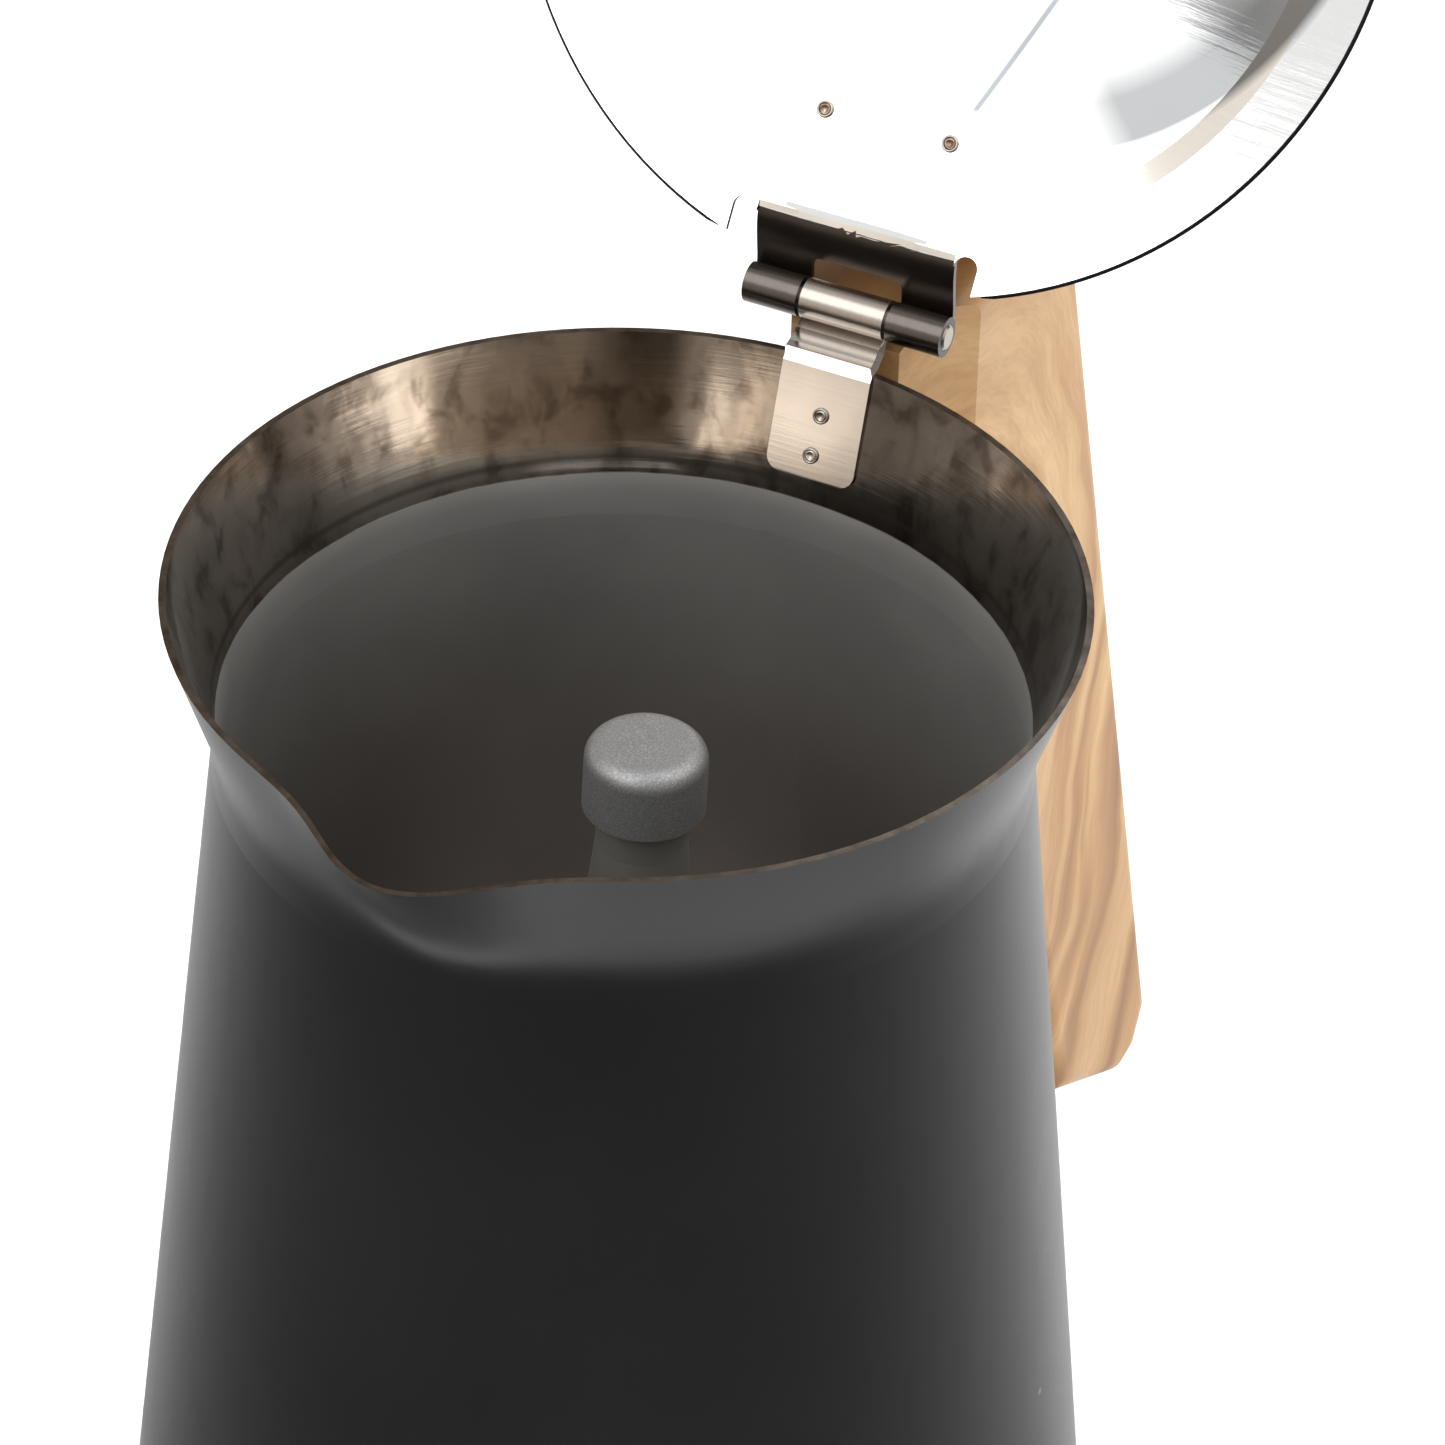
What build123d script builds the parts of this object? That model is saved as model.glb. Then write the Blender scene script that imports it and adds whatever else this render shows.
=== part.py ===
from build123d import *
import math
import os

# Moka pot, millimetres. Z is up, the base stands on Z = 0 and the pot's axis is the Z axis.
# The spout points to -X, the handle and the lid's hinge are on +X, and the hinge pin lies along Y.

# ---------------------------------------------------------------- driving dimensions
RIM_Z = 196.0            # plane of the collector's rim
RIM_R = 45.0             # outer radius of the rim
NECK_DROP = 15.2         # the cone and the flare would meet this far below the rim
NECK_R = 39.89           # their outer radius there
NECK_BEND_R = 19.0       # rounding between the cone and the flare
BODY_SLOPE = 0.095       # the collector widens downwards by this much per millimetre
SHEET = 0.7              # collector sheet
SPOUT_REACH = 7.2        # the rim is pulled out this far at the spout's apex
SPOUT_SPREAD = 8.5       # degrees to either side at which the pull is down to 0.61 of that
SPOUT_LOW_DROP = 18.0    # the pull starts this far below the rim

SEAM_Z = 78.0            # lower edge of the collector
BASE_R = 53.0            # widest radius of the boiler
BASE_EDGE_R = 9.0        # rounding of the boiler's lower edge
BOILER_SHEET = 0.8
SEAM_GAP = 0.5           # between the boiler's shoulder and the collector
PLATE_R = 46.5           # heat-spreading disc
PLATE_T = 3.0

THREAD_R = 44.0          # outer radius of the boiler's threaded neck
MOUTH_R = 42.5           # inner radius of that neck
MOUTH_Z = 90.0           # top edge of that neck
THREAD_PITCH = 3.0
THREAD_RISE = 0.5        # height of a rolled thread
THREAD_CLEAR = 0.4       # radial clearance between the thread and the collar

BASKET_R = 41.9
BASKET_DEEP = 22.0
BASKET_SHEET = 0.7
STEM_R = 5.0
STEM_LOW_Z = 11.0

GASKET_LOW_Z = 91.0
GASKET_T = 3.6
GASKET_R = 44.0
GASKET_BORE_R = 34.5
FILTER_R = 36.2
FLOOR_Z = 94.9           # underside of the collector's floor

COLUMN_BASE_R = 11.0
COLUMN_TOP_R = 4.6
COLUMN_LEAN = 1.6        # degrees, the column's small lean away from the axis
LEAN_TOWARDS = -64.0     # direction of the lean about Z, degrees from +X
CAP_R = 6.15
CAP_TOP_Z = RIM_Z - 18.2
CAP_TALL = 7.5

HINGE_X = 49.3
HINGE_Z = RIM_Z + 3.27
PIN_R = 1.35
KNUCKLE_R = 2.1
HINGE_SHEET = 0.7
KNUCKLE_SPAN = (10.4, 4.5, 4.1, -5.0, -5.4, -11.35)      # Y limits of the three knuckles
STRAP_SPAN = (3.8, -5.8)                                 # Y limits of the strap below the rim
LID_OPEN = 119.7         # degrees the lid turns from closed to its stop
LID_R = 46.5
LID_LIFT = 0.35          # underside of the lid's edge above the rim
LID_SHEET = 0.6
WELD_X = 30.5            # the lid's two weld spots
WELD_Y = 6.87

HANDLE_HALF = 10.5       # half the handle's thickness
HANDLE_IN_X = 50.0       # inner end of the handle's arm
HANDLE_TOP_Z = RIM_Z + 2.0
HANDLE_LEAN = 0.2875     # the grip runs outwards by this much per millimetre down
GRIP_WIDE = 28.5
ARM_END_HALF = 6.0       # half the arm's thickness at its inner end
ARM_TAPER = 10.0         # length over which the arm reaches its full thickness
RECESS_HALF = 4.7        # recess in the arm's inner end that takes the bracket
BRACKET_HALF = 4.4
BRACKET_SHEET = 1.0
BRACKET_TOP_Z = RIM_Z - 9.5
BRACKET_LOW_Z = RIM_Z - 23.6
SCREW_X = 56.4
SCREW_R = 1.5


# ---------------------------------------------------------------- helpers
def body_radius(z):
    """Outer radius of the collector's tapered wall at height z."""
    return NECK_R + BODY_SLOPE * (RIM_Z - NECK_DROP - z)


CONE_TILT = math.atan(BODY_SLOPE)
FLARE_SLOPE = (RIM_R - NECK_R) / NECK_DROP
FLARE_TILT = math.atan(FLARE_SLOPE)
BEND_REACH = NECK_BEND_R * math.tan((CONE_TILT + FLARE_TILT) / 2)
BEND_LOW_Z = RIM_Z - NECK_DROP - BEND_REACH * math.cos(CONE_TILT)
BEND_HIGH_Z = RIM_Z - NECK_DROP + BEND_REACH * math.cos(FLARE_TILT)
BEND_CENTRE_R = body_radius(BEND_LOW_Z) + NECK_BEND_R * math.cos(CONE_TILT)
BEND_CENTRE_Z = BEND_LOW_Z + NECK_BEND_R * math.sin(CONE_TILT)


def wall_radius(z):
    """Outer radius of the collector opposite the spout: cone, rounded neck, flare."""
    if z <= BEND_LOW_Z:
        return body_radius(z)
    if z >= BEND_HIGH_Z:
        return RIM_R - FLARE_SLOPE * (RIM_Z - z)
    return BEND_CENTRE_R - math.sqrt(NECK_BEND_R**2 - (z - BEND_CENTRE_Z) ** 2)


def revolve_outline(points):
    """Solid turned about Z from (radius, height) points."""
    return revolve(Plane.XZ * make_face(Polyline(*points, close=True)), Axis.Z)


def ring(r_out, r_in, low, high):
    """Plain ring about the Z axis between two heights."""
    tall = high - low
    place = Pos(0, 0, low)
    lift = (Align.CENTER, Align.CENTER, Align.MIN)
    return place * (Cylinder(r_out, tall, align=lift) - Cylinder(r_in, tall, align=lift))


def rod(radius, start, end):
    """Round bar between two points."""
    way = Vector(*end) - Vector(*start)
    plane = Plane(origin=start, z_dir=way)
    return extrude(plane * Circle(radius), way.length)


def slab(points, y_low, y_high):
    """Prism whose outline lies in X and Z, between two values of Y."""
    face = Plane(origin=(0, y_high, 0), x_dir=(1, 0, 0), z_dir=(0, -1, 0)) * make_face(
        Polyline(*points, close=True)
    )
    return extrude(face, y_high - y_low)


def strip_outline(path, thick):
    """Closed outline of a bent strip that is thick wide and follows path in X and Z."""
    left = []
    right = []
    for i, point in enumerate(path):
        before = path[max(i - 1, 0)]
        after = path[min(i + 1, len(path) - 1)]
        way = Vector(after[0] - before[0], after[1] - before[1]).normalized()
        side = Vector(-way.Y, way.X) * (thick / 2)
        left.append((point[0] + side.X, point[1] + side.Y))
        right.append((point[0] - side.X, point[1] - side.Y))
    return left + right[::-1]


def leaning(part):
    """Tilt a part about the centre of the collector's floor, as the column leans."""
    pivot = Location((0, 0, FLOOR_Z))
    turn = Rotation(0, 0, LEAN_TOWARDS) * Rotation(0, COLUMN_LEAN, 0) * Rotation(0, 0, -LEAN_TOWARDS)
    return pivot * turn * pivot.inverse() * part


def only(parts):
    """One shape from a list of solids that belong together."""
    return Compound(children=[Solid(s.wrapped) for p in parts for s in p.solids()])


# ---------------------------------------------------------------- boiler
def boiler_base_plate():
    plate = Cylinder(PLATE_R, PLATE_T, align=(Align.CENTER, Align.CENTER, Align.MIN))
    plate = chamfer(plate.edges().group_by(Axis.Z)[0], 0.8)
    groove = ring(PLATE_R - 7.0, PLATE_R - 8.0, 0, 0.3)
    return plate - groove


def boiler_outline(inset):
    """Outline of the boiler's sheet from the centre of its floor to the inner edge of its shoulder."""
    low = PLATE_T + inset
    side_top_r = body_radius(SEAM_Z) - inset
    top = SEAM_Z - SEAM_GAP - inset
    edge_r = BASE_EDGE_R - inset
    corner = Vector(BASE_R - BASE_EDGE_R, PLATE_T + BASE_EDGE_R)
    arc = []
    for step in range(9):
        angle = math.radians(-90 + 90 * step / 8)
        arc.append((corner.X + edge_r * math.cos(angle), corner.Y + edge_r * math.sin(angle)))
    return [(0, low)] + arc + [(side_top_r, top - 2.2), (side_top_r - 0.7, top - 0.6), (side_top_r - 2.2, top)]


def boiler_filled():
    """The boiler's outside as one solid, used to shape what lies against it."""
    return revolve_outline(boiler_outline(0) + [(0, SEAM_Z - SEAM_GAP)])


def boiler_shell():
    outer = boiler_outline(0) + [(MOUTH_R, SEAM_Z - SEAM_GAP)]
    inner = boiler_outline(BOILER_SHEET) + [(MOUTH_R, SEAM_Z - SEAM_GAP - BOILER_SHEET)]
    shell = revolve_outline(outer + inner[::-1])
    return shell - valve_hole()


def boiler_neck_ring():
    """Neck with rolled threads, drawn as rings one pitch apart."""
    low = SEAM_Z - SEAM_GAP
    root = THREAD_R - THREAD_RISE
    points = [(MOUTH_R, low), (THREAD_R - 0.2, low), (root, low + 1.6)]
    z = low + 3.2
    while z < MOUTH_Z - 2:
        points += [(root, z), (THREAD_R, z + 0.6), (THREAD_R, z + 0.9), (root, z + 1.5)]
        z += THREAD_PITCH
    points += [(root, MOUTH_Z - 0.4), (root - 0.4, MOUTH_Z), (MOUTH_R, MOUTH_Z)]
    return revolve_outline(points)


# ---------------------------------------------------------------- safety valve, on the -Y side
VALVE_Z = 58.0
VALVE_STUB_R = 5.0
VALVE_BORE_R = 3.2
VALVE_STEM_R = 1.5
VALVE_SEAT = -5.0        # the bore's inner seat, measured outwards from the wall
VALVE_DISC_TOP = -3.5
VALVE_FRONT = 5.5        # the bore's outer end
VALVE_WALL_Y = BASE_R - (BASE_R - body_radius(SEAM_Z)) * (VALVE_Z - 12) / (SEAM_Z - 15)


def along_valve(radius, inner, outer):
    """Round bar on the valve's axis between two distances from the pot's axis."""
    return rod(radius, (0, -inner, VALVE_Z), (0, -outer, VALVE_Z))


def valve_hole():
    return along_valve(VALVE_STUB_R + 0.05, 40, 60)


def safety_valve_body():
    """Hexagon head outside, threaded stub through the wall, and a bore that holds plunger and spring."""
    wall = VALVE_WALL_Y
    hexagon = Plane(origin=(0, -(wall + 1.0), VALVE_Z), z_dir=(0, -1, 0)) * RegularPolygon(7, 6)
    head = extrude(hexagon, 4.5)
    boss = along_valve(5.2, wall + 5.5, wall + 7.0)
    boss = chamfer(boss.edges().group_by(Axis.Y)[0], 0.6)
    stub = along_valve(VALVE_STUB_R, wall + VALVE_SEAT - 2.0, wall + 1.0)
    bore = along_valve(VALVE_BORE_R, wall + VALVE_SEAT, wall + VALVE_FRONT)
    stem_way = along_valve(VALVE_STEM_R + 0.08, wall + 5.0, wall + 7.5)
    inlet = along_valve(1.6, wall + VALVE_SEAT - 2.5, wall + VALVE_SEAT + 0.5)
    return head + boss + stub - bore - stem_way - inlet


def safety_valve_seal():
    """Moulded washer that follows the boiler's curved wall."""
    wall = VALVE_WALL_Y
    washer = along_valve(6.6, wall - 2, wall + 1.0) - along_valve(VALVE_STUB_R, wall - 3, wall + 2)
    return washer - boiler_filled()


def safety_valve_nut():
    wall = VALVE_WALL_Y
    hexagon = Plane(origin=(0, -(wall - 5.2), VALVE_Z), z_dir=(0, -1, 0)) * RegularPolygon(7.4, 6)
    nut = extrude(hexagon, 3.2)
    return nut - along_valve(VALVE_STUB_R, wall - 8, wall + 1)


def safety_valve_plunger():
    """Disc on the inner seat, with a stem that shows outside. Steam or a finger moves it outwards."""
    wall = VALVE_WALL_Y
    disc = along_valve(VALVE_BORE_R - 0.08, wall + VALVE_SEAT + 0.05, wall + VALVE_DISC_TOP)
    stem = along_valve(VALVE_STEM_R, wall + VALVE_DISC_TOP - 0.2, wall + 9.0)
    return disc + chamfer(stem.edges().group_by(Axis.Y)[0], 0.3)


def safety_valve_spring():
    """Coil between the disc and the front of the bore."""
    wall = VALVE_WALL_Y
    wire = 0.3
    coil_r = 2.35
    low = VALVE_DISC_TOP + wire + 0.05
    tall = VALVE_FRONT - wire - 0.05 - low
    line = Helix(pitch=tall / 5, height=tall, radius=coil_r)
    start = Plane(origin=line @ 0, z_dir=line % 0)
    coil = sweep(start * Circle(wire), path=line)
    return Pos(0, -(wall + low), VALVE_Z) * Rotation(90, 0, 0) * coil


# ---------------------------------------------------------------- funnel
def funnel_basket():
    top = MOUTH_Z
    low = top - BASKET_DEEP
    outer = [(43.3, top), (43.3, top + 0.7), (BASKET_R - BASKET_SHEET, top + 0.7)]
    inside = [(BASKET_R - BASKET_SHEET, low + 1.5), (BASKET_R - 2.2, low + 0.7), (STEM_R + 9, low - 3.8)]
    throat = [(STEM_R - 0.6, low - 7.2), (STEM_R - 0.6, low - 11.5), (STEM_R + 0.1, low - 11.5)]
    outside = [(STEM_R + 0.1, low - 7.6), (STEM_R + 9.3, low - 4.5), (BASKET_R - 2.0, low), (BASKET_R, low + 1.3)]
    return revolve_outline(outer + inside + throat + outside + [(BASKET_R, top)])


def funnel_stem():
    """Tube pressed over the basket's spigot, with a slanted lower end."""
    top = MOUTH_Z - BASKET_DEEP - 8.6
    tube = ring(STEM_R + 0.75, STEM_R + 0.1, STEM_LOW_Z, top)
    slant = Pos(0, 0, STEM_LOW_Z) * Rotation(0, 20, 0) * Box(30, 30, 4)
    return tube - slant


def perforated(disc, first_r, rows, row_step, hole_r):
    """Rings of round holes through a flat disc."""
    holes = []
    for row in range(rows):
        radius = first_r + row * row_step
        count = round(2 * math.pi * radius / row_step)
        for i in range(count):
            angle = 2 * math.pi * i / count
            holes.append((radius * math.cos(angle), radius * math.sin(angle)))
    sketch = Sketch() + [Pos(x, y) * Circle(hole_r) for x, y in holes]
    low = disc.bounding_box().min.Z - 1
    return disc - extrude(Plane.XY.offset(low) * sketch, 8)


def funnel_filter_disc():
    low = MOUTH_Z - BASKET_DEEP + 0.9
    disc = Pos(0, 0, low) * Cylinder(39.4, 0.5, align=(Align.CENTER, Align.CENTER, Align.MIN))
    return perforated(disc, 5.5, 6, 5.6, 0.9)


# ---------------------------------------------------------------- seal between boiler and collector
def sealing_gasket():
    low = GASKET_LOW_Z
    high = low + GASKET_T
    groove = [(FILTER_R + 0.05, high - 0.9), (FILTER_R + 0.05, high - 1.7), (GASKET_BORE_R, high - 1.7)]
    top = [(GASKET_BORE_R, low), (GASKET_R, low), (GASKET_R, high), (GASKET_BORE_R, high)]
    return revolve_outline(top + [(GASKET_BORE_R, high - 0.9)] + groove)


def upper_filter_plate():
    high = GASKET_LOW_Z + GASKET_T
    disc = Pos(0, 0, high - 1.6) * Cylinder(FILTER_R, 0.6, align=(Align.CENTER, Align.CENTER, Align.MIN))
    return perforated(disc, 5.0, 5, 5.4, 0.9)


# ---------------------------------------------------------------- collector
def spout_pull(angle, z):
    """How far the wall is drawn outwards at an angle in degrees from the spout's direction."""
    share = max(0.0, 1 - (RIM_Z - z) / SPOUT_LOW_DROP)
    return SPOUT_REACH * share**1.5 * math.exp(-0.5 * (angle / SPOUT_SPREAD) ** 2)


def wall_section(inset, z):
    """Outline of the collector at height z, moved inwards by inset."""
    points = []
    for angle in range(0, 360, 5):
        r = wall_radius(z) + spout_pull(angle - 180, z) - inset
        points.append((r * math.cos(math.radians(angle)), r * math.sin(math.radians(angle)), z))
    return Face(Wire([Spline(*points, periodic=True)]))


def collector_filled(inset):
    """The collector as one solid from its seam to its rim."""
    levels = 7
    cone = loft([wall_section(inset, SEAM_Z), wall_section(inset, BEND_LOW_Z)], ruled=True)
    heights = [BEND_LOW_Z + (RIM_Z - BEND_LOW_Z) * i / levels for i in range(levels + 1)]
    return cone + loft([wall_section(inset, z) for z in heights])


def collector_shell():
    return collector_filled(0) - collector_filled(SHEET)


def collector_floor():
    """Dish with a flange that is welded inside the wall, and a raised centre under the column."""
    edge_r = body_radius(FLOOR_Z + 1.4) - SHEET
    outer = [(edge_r, FLOOR_Z), (edge_r, FLOOR_Z + 1.0), (GASKET_BORE_R - 1, FLOOR_Z + 1.0)]
    upper = [(COLUMN_BASE_R + 1.5, FLOOR_Z + 3.4), (COLUMN_BASE_R - 2.5, FLOOR_Z + 3.4)]
    lower = [(COLUMN_BASE_R - 2.5, FLOOR_Z + 2.4), (COLUMN_BASE_R + 1.3, FLOOR_Z + 2.4), (GASKET_BORE_R - 1, FLOOR_Z)]
    return revolve_outline(outer + upper + lower)


def collector_collar():
    """Threaded skirt under the floor. Its grooves stand for the rolled thread."""
    bore = THREAD_R + THREAD_CLEAR
    low = SEAM_Z + 1.5
    high = FLOOR_Z
    foot_r = body_radius(low + 1.2) - SHEET
    points = [(bore, high), (bore + 1.6, high), (bore + 1.6, low + 1.2), (foot_r, low + 1.2), (foot_r, low), (bore, low)]
    z = low + 1.5
    while z < high - 3:
        points += [(bore, z), (bore + THREAD_RISE, z + 0.6), (bore + THREAD_RISE, z + 0.9), (bore, z + 1.5)]
        z += THREAD_PITCH
    return revolve_outline(points)


def chimney_column():
    """Tapered tube from the floor up into the cap, with slots at its top for the coffee."""
    low = FLOOR_Z + 2.9
    top = CAP_TOP_Z - 3.0
    shoulder = RIM_Z - 30.0
    points = [(COLUMN_BASE_R + 1.4, low), (COLUMN_BASE_R + 1.4, low + 0.7), (COLUMN_BASE_R, low + 1.6)]
    points += [(COLUMN_TOP_R, shoulder), (COLUMN_TOP_R, top), (COLUMN_TOP_R - 0.7, top)]
    points += [(COLUMN_TOP_R - 0.7, shoulder), (COLUMN_BASE_R - 0.7, low + 1.5), (COLUMN_BASE_R - 0.7, low)]
    tube = revolve_outline(points)
    for angle in (0, 120, 240):
        slot = Rotation(0, 0, angle) * Pos(COLUMN_TOP_R, 0, top - 1.5) * Box(4, 3, 5)
        tube = tube - slot
    return leaning(tube) - collector_floor()


def chimney_cap():
    """Cap over the column's outlet. Three indents in its skirt grip the column."""
    low = CAP_TOP_Z - CAP_TALL
    cap = Pos(0, 0, low) * Cylinder(CAP_R, CAP_TALL, align=(Align.CENTER, Align.CENTER, Align.MIN))
    cap = fillet(cap.edges().group_by(Axis.Z)[-1], 1.9)
    hollow = Pos(0, 0, low) * Cylinder(CAP_R - 0.6, CAP_TALL - 0.8, align=(Align.CENTER, Align.CENTER, Align.MIN))
    hollow = fillet(hollow.edges().group_by(Axis.Z)[-1], 1.4)
    cap = cap - hollow
    for angle in (60, 180, 300):
        reach = CAP_R - 0.3 - COLUMN_TOP_R
        indent = Pos(COLUMN_TOP_R + reach / 2, 0, low + 2.5) * Box(reach, 1.6, 1.6)
        cap = cap + Rotation(0, 0, angle) * indent
    return leaning(cap)


# ---------------------------------------------------------------- hinge
def knuckle(y_high, y_low):
    """Curled sheet round the pin, between two values of Y."""
    around = rod(KNUCKLE_R, (HINGE_X, y_low, HINGE_Z), (HINGE_X, y_high, HINGE_Z))
    bore = rod(PIN_R + 0.05, (HINGE_X, y_low - 1, HINGE_Z), (HINGE_X, y_high + 1, HINGE_Z))
    return around, bore


def flare_inside(z):
    """Inner radius of the flare opposite the spout at height z."""
    return wall_radius(z) - SHEET


def strap_outline():
    """The strap seen along X, from its rounded lower end up to the knuckle."""
    y_high, y_low = STRAP_SPAN
    end_z = RIM_Z - 11.4
    points = [(KNUCKLE_SPAN[2], HINGE_Z), (KNUCKLE_SPAN[2], HINGE_Z - KNUCKLE_R), (y_high, RIM_Z), (y_high, end_z)]
    points += [(y_low, end_z), (y_low, RIM_Z), (KNUCKLE_SPAN[3], HINGE_Z - KNUCKLE_R), (KNUCKLE_SPAN[3], HINGE_Z)]
    face = make_face(Polyline(*points, close=True))
    face = fillet(face.vertices().group_by(Axis.Y)[0], 1.5)
    return extrude(Plane.YZ.offset(FLOOR_Z / 3) * face, 30)


def hinge_bracket():
    """Strap inside the flare, bent over the rim and curled round the pin as the middle knuckle."""
    half = HINGE_SHEET / 2
    lay = half / math.cos(FLARE_TILT) + 0.05
    low_z = RIM_Z - 12.5
    path = [(flare_inside(low_z) - lay, low_z), (flare_inside(BEND_HIGH_Z) - lay, BEND_HIGH_Z)]
    path += [(flare_inside(RIM_Z - 0.6) - lay, RIM_Z - 0.6)]
    path += [(flare_inside(RIM_Z) + 0.1, RIM_Z + 0.35), (RIM_R + 0.2, RIM_Z + half + 0.05)]
    path += [(HINGE_X - 2.2, RIM_Z + half + 0.45), (HINGE_X - 0.3, HINGE_Z - KNUCKLE_R + half)]
    strap = slab(strip_outline(path, HINGE_SHEET), STRAP_SPAN[1], KNUCKLE_SPAN[2])
    around, bore = knuckle(KNUCKLE_SPAN[2], KNUCKLE_SPAN[3])
    return (strap & strap_outline()) + around - bore - collector_shell()


def hinge_bracket_welds():
    """Two dimpled spot welds on the strap."""
    spots = []
    for depth, y in ((4.9, -1.25), (9.0, -0.9)):
        z = RIM_Z - depth
        x = flare_inside(z) - (HINGE_SHEET + 0.16) / math.cos(FLARE_TILT) - 0.05
        tilt = math.degrees(FLARE_TILT)
        spots.append(Pos(x, y, z) * Rotation(0, -90 + tilt, 0) * Torus(0.7, 0.14))
    return only(spots)


def hinge_pin():
    beyond = 0.2
    start = (HINGE_X, KNUCKLE_SPAN[5] - beyond, HINGE_Z)
    pin = rod(PIN_R, start, (HINGE_X, KNUCKLE_SPAN[0] + beyond, HINGE_Z))
    return chamfer(pin.edges(), 0.2)


# ---------------------------------------------------------------- lid
BAND_IN_R = 41.0         # inner edge of the lid's outer band
DOME_R = 38.6            # where the shallow dome begins
DOME_Z = 1.3             # the dome's foot above the lid's edge
DOME_TALL = 5.4          # the dome's centre above the lid's edge
DOME_BEND_R = (DOME_R**2 + (DOME_TALL - DOME_Z) ** 2) / (2 * (DOME_TALL - DOME_Z))


def lid_surface(r):
    """Height of the lid's underside above its edge at radius r."""
    if r >= BAND_IN_R:
        return 0.5 * (LID_R - r) / (LID_R - BAND_IN_R)
    if r >= DOME_R:
        share = (BAND_IN_R - r) / (BAND_IN_R - DOME_R)
        return 0.5 + (DOME_Z - 0.5) * share
    return DOME_TALL - DOME_BEND_R + math.sqrt(DOME_BEND_R**2 - r**2)


def lid_tilt(r):
    """Slope of the dome at radius r, in degrees."""
    return math.degrees(math.asin(r / DOME_BEND_R))


def lid_disc():
    """Dome with its band, turned about the pot's axis."""
    low = RIM_Z + LID_LIFT
    dome_mid = DOME_R / 2
    faces = []
    for rise in (0, LID_SHEET):
        centre = (0, low + DOME_TALL + rise)
        middle = (dome_mid, low + lid_surface(dome_mid) + rise)
        foot = (DOME_R, low + DOME_Z + rise)
        band_in = (BAND_IN_R, low + 0.5 + rise)
        edge = (LID_R, low + rise)
        faces.append((centre, middle, foot, band_in, edge))
    under, over = faces
    lower_dome = ThreePointArc(under[0], under[1], under[2])
    band = Polyline(under[2], under[3], under[4], over[4], over[3], over[2])
    upper_dome = ThreePointArc(over[2], over[1], over[0])
    middle_line = Line(over[0], under[0])
    outline = make_face([lower_dome, *band.edges(), upper_dome, middle_line])
    return revolve(Plane.XZ * outline, Axis.Z)


TAB_SPAN = (10.6, -11.1)
TAB_IN_X = 40.8
NOTCH_WIDE = 2.6
TAB_SLOT_X = 45.2        # the middle knuckle's slot between the tab's two arms begins here


def tab_outline():
    """Seen along Y: the tab folds up from the disc and runs over the strap to the knuckles' tops."""
    low = RIM_Z + LID_LIFT
    half = LID_SHEET / 2
    crest = HINGE_Z + KNUCKLE_R - half
    path = [(TAB_IN_X - 1.0, low + 0.5 + half), (TAB_IN_X + 0.7, low + 0.6 + half)]
    path += [(TAB_IN_X + 2.6, RIM_Z + 2.1), (HINGE_X - 4.0, RIM_Z + 3.4), (HINGE_X - 1.8, crest - 0.3)]
    points = strip_outline(path + [(HINGE_X, crest)], LID_SHEET)
    count = len(points) // 2
    under = Spline(*points[:count])
    over = Spline(*points[count:])
    return make_face([under, Line(under @ 1, over @ 0), over, Line(over @ 1, under @ 0)])


def along_y(face, y_low, y_high):
    """Prism of a face drawn in X and Z between two values of Y."""
    return extrude(Plane(origin=(0, y_high, 0), x_dir=(1, 0, 0), z_dir=(0, -1, 0)) * face, y_high - y_low)


def lid():
    """One sheet: the domed disc, and a tab between two notches that curls into the outer knuckles."""
    disc = lid_disc()
    low = RIM_Z + LID_LIFT
    for y in (TAB_SPAN[0] + NOTCH_WIDE / 2, TAB_SPAN[1] - NOTCH_WIDE / 2):
        notch = Box(20, NOTCH_WIDE, 20)
        notch = fillet(notch.edges().filter_by(Axis.Z), NOTCH_WIDE / 2 - 0.05)
        disc = disc - Pos(TAB_IN_X + 9.9, y, low) * notch
    tab_wide = TAB_SPAN[0] - TAB_SPAN[1]
    disc = disc - Pos(TAB_IN_X + 10, (TAB_SPAN[0] + TAB_SPAN[1]) / 2, low) * Box(20, tab_wide, 20)
    metal = disc + along_y(tab_outline(), TAB_SPAN[1], TAB_SPAN[0])
    slot_wide = KNUCKLE_SPAN[1] - KNUCKLE_SPAN[4]
    slot_y = (KNUCKLE_SPAN[1] + KNUCKLE_SPAN[4]) / 2
    slot = Pos(TAB_SLOT_X + 5, slot_y, HINGE_Z) * Box(10, slot_wide, 10)
    slot = fillet(slot.edges().filter_by(Axis.Z), 0.8)
    metal = metal - slot
    for y_high, y_low in ((KNUCKLE_SPAN[0], KNUCKLE_SPAN[1]), (KNUCKLE_SPAN[4], KNUCKLE_SPAN[5])):
        around, bore = knuckle(y_high, y_low)
        metal = metal + around - bore
    return metal


def lid_welds():
    spots = []
    for side in (1, -1):
        r = math.hypot(WELD_X, WELD_Y)
        z = RIM_Z + LID_LIFT + lid_surface(r)
        spots.append(Pos(WELD_X, side * WELD_Y, z - 0.15) * Rotation(0, lid_tilt(r), 0) * Torus(0.75, 0.14))
    return only(spots)


# ---------------------------------------------------------------- lid knob
FOOT_T = 1.0
TONGUE_T = 1.6
TONGUE_HALF = 5.0
KNOB_HALF = 9.0
KNOB_X = (25.0, 37.0)
KNOB_TALL = 22.0         # top of the knob above the rim, lid closed
KNOB_LIP = 4.1           # the knob's top reaches this far back, and meets the handle as the lid's stop


def over_lid(x, y):
    """Height of the lid's upper face at a point."""
    return RIM_Z + LID_LIFT + LID_SHEET + lid_surface(math.hypot(x, y))


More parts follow.
